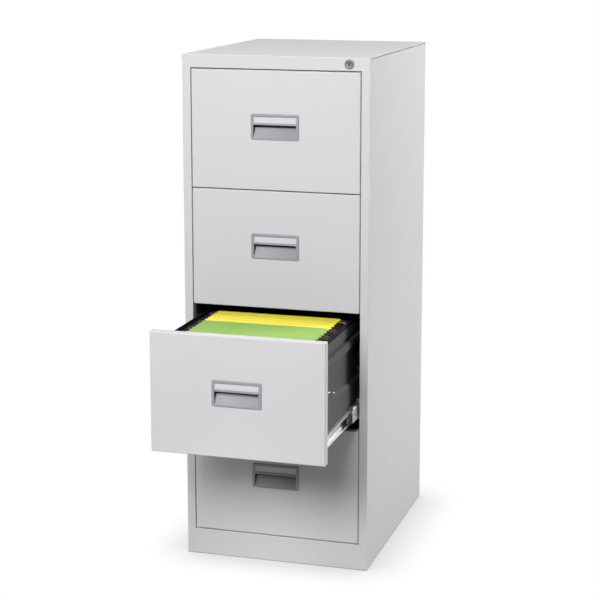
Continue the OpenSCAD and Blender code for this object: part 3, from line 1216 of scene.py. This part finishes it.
for n in front_box:
    centre_z = front_box[n][0].z + slide_mid_z
    for part, web_x, row_z, count in (
        ("outer", 220.4 * mm, 22.0 * mm, 6),
        ("inner", 217.5 * mm, 16.8 * mm, 5),
    ):
        low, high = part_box(f"drawer_{n}_cage_{part}")
        outline = rounded(
            [(cage_lip_x, -row_z), (web_x, -row_z), (web_x, row_z), (cage_lip_x, row_z)],
            1.2 * mm,
            3,
        )
        strip_mesh = bmesh.new()
        add_side_pair(strip_mesh, outline, low.y, high.y, ball_x, centre_z)
        strip = thickened(piece_from("cage_strip", strip_mesh, cage_steel), 0.4 * mm)
        first = (low.y + high.y - (count - 1) * ball_pitch) / 2
        spots = [
            ((hand * ball_x, first + i * ball_pitch, centre_z + up * row_z), (0, 0, 0))
            for hand in (1, -1)
            for up in (1, -1)
            for i in range(count)
        ]
        balls = repeated("cage_balls", ball, spots, ball_steel, 180)
        cage = joined(f"drawer_{n}_{part}_ball_cage", strip, balls)
        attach(cage, f"cage_{part}_{n}")
        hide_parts(f"drawer_{n}_cage_{part}")
bpy.data.objects.remove(ball)

# ---- Screws -----------------------------------------------------------------
# Zinc-plated cross-recess pan heads: four hold each tray to its slides, and two on each
# side, outside the wall, hold the front brace.

bright_zinc = plated("bright_zinc", (0.85, 0.86, 0.87), 0.18, streak=0.1)


def pan_head(name, head_r, shank_r, shank):
    """A screw along X: its head's underside is at 0 and its head points to +X."""
    outline = [
        (0, 0.42 * head_r),
        (0.55 * head_r, 0.40 * head_r),
        (0.85 * head_r, 0.28 * head_r),
        (head_r, 0.08 * head_r),
        (head_r, 0),
        (shank_r, 0),
        (shank_r, -shank),
        (0, -shank),
    ]
    screw = turned(name, outline, Vector((0, 0, 0)), [bright_zinc], 20)
    screw.data.transform(Matrix.Rotation(math.radians(-90), 4, "Z"))
    wide, narrow = 0.5 * head_r, 0.13 * head_r
    plus = []
    for turn in range(4):
        for y, z in ((wide, -narrow), (wide, narrow), (narrow, narrow)):
            for _ in range(turn):
                y, z = -z, y
            plus.append((y, z))
    recess = prism(plus, 0.15 * head_r, head_r, along_x)
    cut(screw, piece_from("cross_recess", recess, bright_zinc))
    return screw


slide_screw = pan_head("slide_screw", 3.6 * mm, 1.9 * mm, 3 * mm)
brace_screw = pan_head("brace_screw", 3.5 * mm, 1.6 * mm, 4 * mm)
to_right, to_left = (0, 0, 0), (0, 0, math.pi)
slide_screw_ys = (slide_front_y + 60 * mm, slide_back_y - 80 * mm)
brace_screw_spots = ((-189 * mm, 147 * mm), (-145 * mm, 135 * mm))
for n in front_box:
    foot = front_box[n][0].z
    shift = drawer_shift[n]
    slide_spots, brace_spots = [], []
    for hand, outwards, inwards in ((1, to_right, to_left), (-1, to_left, to_right)):
        for y in slide_screw_ys:
            place = (hand * (tray_x - mm), y + shift, foot + slide_mid_z)
            slide_spots.append((place, inwards))
        for y, z in brace_screw_spots:
            brace_spots.append(((hand * wall_x, y + shift, foot + z), outwards))
    screws = joined(
        f"drawer_{n}_pan_head_screws",
        repeated("slide_screws", slide_screw, slide_spots, bright_zinc),
        repeated("brace_screws", brace_screw, brace_spots, bright_zinc),
    )
    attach(screws, f"drawer_{n}")
    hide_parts(f"drawer_{n}_screws")
for prototype in (slide_screw, brace_screw):
    bpy.data.objects.remove(prototype)

# ---- Suspension files -------------------------------------------------------
# Folded card, nine green and five yellow, packed close. Their flat tops meet, and their
# ends are notched where each folder closes.

green_count, yellow_count = 9, 5
file_pitch = 23 * mm
file_half = 167 * mm
file_top = front_box[3][0].z + 281 * mm
file_foot = front_box[3][0].z + 32 * mm
first_file = front_box[3][1].y + 6 * mm
notch = 6 * mm


def card(name, colour, bounce):
    """Card with fine fibres; other surfaces see a quieter colour in it."""
    material = coated(name, colour, 0.72, cloudiness=0.10, grain=1800.0, specular=0.25)
    tree = material.node_tree
    shader = tree.nodes["Principled BSDF"]
    grain_colour = shader.inputs["Base Color"].links[0].from_socket
    ray = add_node(tree, "ShaderNodeLightPath")
    choice = add_node(
        tree,
        "ShaderNodeMix",
        {"Factor": ray.outputs["Is Diffuse Ray"], "A": grain_colour, "B": (*bounce, 1)},
        data_type="RGBA",
    )
    tree.links.new(choice.outputs["Result"], shader.inputs["Base Color"])
    return material


green_card = card("green_card", (0.285, 0.465, 0.110), (0.2, 0.2, 0.2))
yellow_card = card("yellow_card", (0.98, 0.86, 0.09), (0.2, 0.2, 0.2))


def add_folder(mesh, y0):
    """One folder: a closed block with notched ends and a softly crowned top."""
    y1, middle = y0 + file_pitch - 0.3 * mm, y0 + file_pitch / 2
    plan = [
        (-file_half + notch, y0),
        (file_half - notch, y0),
        (file_half, middle),
        (file_half - notch, y1),
        (-file_half + notch, y1),
        (-file_half, middle),
    ]
    rings = [
        [mesh.verts.new((x * wide, middle + (y - middle) * deep, z)) for x, y in plan]
        for wide, deep, z in (
            (1, 1, file_foot),
            (1, 1, file_top - 1.3 * mm),
            (0.996, 0.93, file_top - 0.4 * mm),
            (0.99, 0.55, file_top),
        )
    ]
    mesh.faces.new(rings[0][::-1])
    mesh.faces.new(rings[-1])
    for low_ring, high_ring in zip(rings, rings[1:]):
        for i in range(len(plan)):
            j = (i + 1) % len(plan)
            mesh.faces.new((low_ring[i], low_ring[j], high_ring[j], high_ring[i]))


for name, node, start, count, material, slot_name in (
    ("green_folders", "files_green", 0, green_count, green_card, "green_card"),
    ("yellow_folders", "files_yellow", green_count, yellow_count, yellow_card, "yellow_card"),
):
    mesh = bmesh.new()
    for i in range(start, start + count):
        add_folder(mesh, first_file + i * file_pitch)
    bmesh.ops.recalc_face_normals(mesh, faces=mesh.faces)
    folders = settled(piece_from(name, mesh, material), 50)
    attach(folders, "drawer_3")
    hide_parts(node)

# ---- Hanger bars ------------------------------------------------------------
# Each folder hangs on two flat steel bars whose hooked ends rest on the tray's inner
# flanges. Their coating is dark and differs a little from bar to bar; near-black bars
# among them stand in for the shade between the hooks, as painted shade.

bar_t = 1.7 * mm
half_bar = [
    (167.0, 269.4),
    (169.5, 266.6),
    (173.5, 266.6),
    (175.4, 269.2),
    (176.6, 273.6),
    (180.0, 273.6),
    (181.8, 272.2),
    (184.6, 272.2),
    (184.6, 274.6),
    (181.5, 277.2),
    (178.5, 278.6),
]


def bar_colours_and_painted_shade():
    """Dark browns, olives and purples along the bars; near-black ones are painted shade."""
    material = coated("hook_coating", (0.05, 0.04, 0.035), 0.35, grain=600.0)
    tree = material.node_tree
    place = add_node(tree, "ShaderNodeTexCoord")
    along = add_node(tree, "ShaderNodeSeparateXYZ", {0: place.outputs["Object"]})
    row = maths(tree, "SNAP", along.outputs["Y"], file_pitch / 2)
    pick = add_node(tree, "ShaderNodeTexWhiteNoise", {"W": row}, noise_dimensions="1D")
    hues = add_node(tree, "ShaderNodeValToRGB", {"Fac": pick.outputs["Value"]})
    hues.color_ramp.interpolation = "CONSTANT"
    shades = [
        (0.0, (0.09, 0.045, 0.03)),
        (0.14, (0.012, 0.012, 0.012)),
        (0.34, (0.12, 0.08, 0.115)),
        (0.46, (0.012, 0.012, 0.012)),
        (0.60, (0.05, 0.05, 0.025)),
        (0.70, (0.012, 0.012, 0.012)),
        (0.95, (0.15, 0.145, 0.14)),
    ]
    while len(hues.color_ramp.elements) < len(shades):
        hues.color_ramp.elements.new(0.5)
    for element, (at, shade) in zip(hues.color_ramp.elements, shades):
        element.position = at
        element.color = (*shade, 1)
    shader = tree.nodes["Principled BSDF"]
    tree.links.new(hues.outputs["Color"], shader.inputs["Base Color"])
    return material


bar_paint_and_shade = bar_colours_and_painted_shade()
bar_outline = half_bar + [(-x, z) for x, z in reversed(half_bar)]
bar_outline = [(x * mm, front_box[3][0].z + z * mm) for x, z in bar_outline]
bar = piece_from("bar", prism(bar_outline, 0, bar_t, along_y), bar_paint_and_shade)
bar_places = [
    ((0, first_file + i * file_pitch + inset, 0), (0, 0, 0))
    for i in range(green_count + yellow_count)
    for inset in (3 * mm, file_pitch - 5 * mm)
]
bars = repeated("hanger_bars", bar, bar_places, bar_paint_and_shade)
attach(bars, "drawer_3")
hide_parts("file_bars")
bpy.data.objects.remove(bar)

# ---- Size -------------------------------------------------------------------
low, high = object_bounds()
